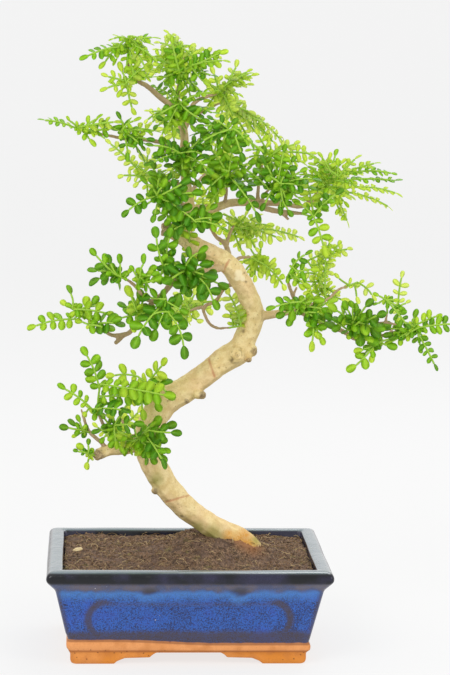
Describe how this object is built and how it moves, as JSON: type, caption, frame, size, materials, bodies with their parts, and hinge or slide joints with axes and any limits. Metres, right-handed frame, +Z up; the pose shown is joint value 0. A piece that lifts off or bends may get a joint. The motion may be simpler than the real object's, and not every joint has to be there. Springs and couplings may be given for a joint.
{
  "type": "japanese pepper bonsai",
  "caption": "Small pinnate-leaved bonsai tree with an S-curved trunk, planted in soil in a blue-glazed rectangular pot on bracket feet.",
  "frame": {"origin": "middle of the bounding box of tree and pot, on the surface that the feet stand on", "axes": "+Z up, the pot's long front faces -Y, +X to the right seen from the front"},
  "size_m": [0.3964, 0.1956, 0.5925],
  "materials": {
    "glazed_pot": "gloss",
    "mesh_plastic": "matte",
    "soil": "matte",
    "bark": "matte",
    "leaf": "satin"
  },
  "bodies": {
    "root": {"pot": "glazed_pot", "drain_mesh_left": "mesh_plastic", "drain_mesh_right": "mesh_plastic", "soil": "soil", "trunk": "bark", "spray_base_1": "leaf", "spray_base_2": "leaf", "spray_base_3": "leaf", "spray_base_4": "leaf", "spray_base_5": "leaf", "spray_base_6": "leaf", "spray_base_7": "leaf", "spray_base_8": "leaf", "spray_left_1": "leaf", "spray_left_2": "leaf", "spray_left_3": "leaf", "spray_left_4": "leaf", "spray_left_5": "leaf", "spray_left_6": "leaf", "spray_left_7": "leaf", "spray_left_8": "leaf", "spray_left_9": "leaf", "spray_left_10": "leaf", "spray_right_1": "leaf", "spray_right_2": "leaf", "spray_right_3": "leaf", "spray_right_4": "leaf", "spray_right_5": "leaf", "spray_right_6": "leaf", "spray_right_7": "leaf", "spray_right_8": "leaf", "spray_right_9": "leaf", "spray_middle_1": "leaf", "spray_middle_2": "leaf", "spray_middle_3": "leaf", "spray_middle_4": "leaf", "spray_upper_1": "leaf", "spray_upper_2": "leaf", "spray_upper_3": "leaf", "spray_upper_4": "leaf", "spray_upper_5": "leaf", "spray_upper_6": "leaf", "spray_upper_7": "leaf", "spray_upper_8": "leaf", "spray_crown_1": "leaf", "spray_crown_2": "leaf", "spray_crown_3": "leaf", "spray_crown_4": "leaf", "spray_crown_5": "leaf", "spray_crown_6": "leaf", "spray_crown_7": "leaf", "spray_crown_8": "leaf", "spray_crown_9": "leaf", "spray_crown_10": "leaf", "spray_crown_11": "leaf", "spray_crown_12": "leaf", "spray_crown_13": "leaf"}
  },
  "joints": []
}
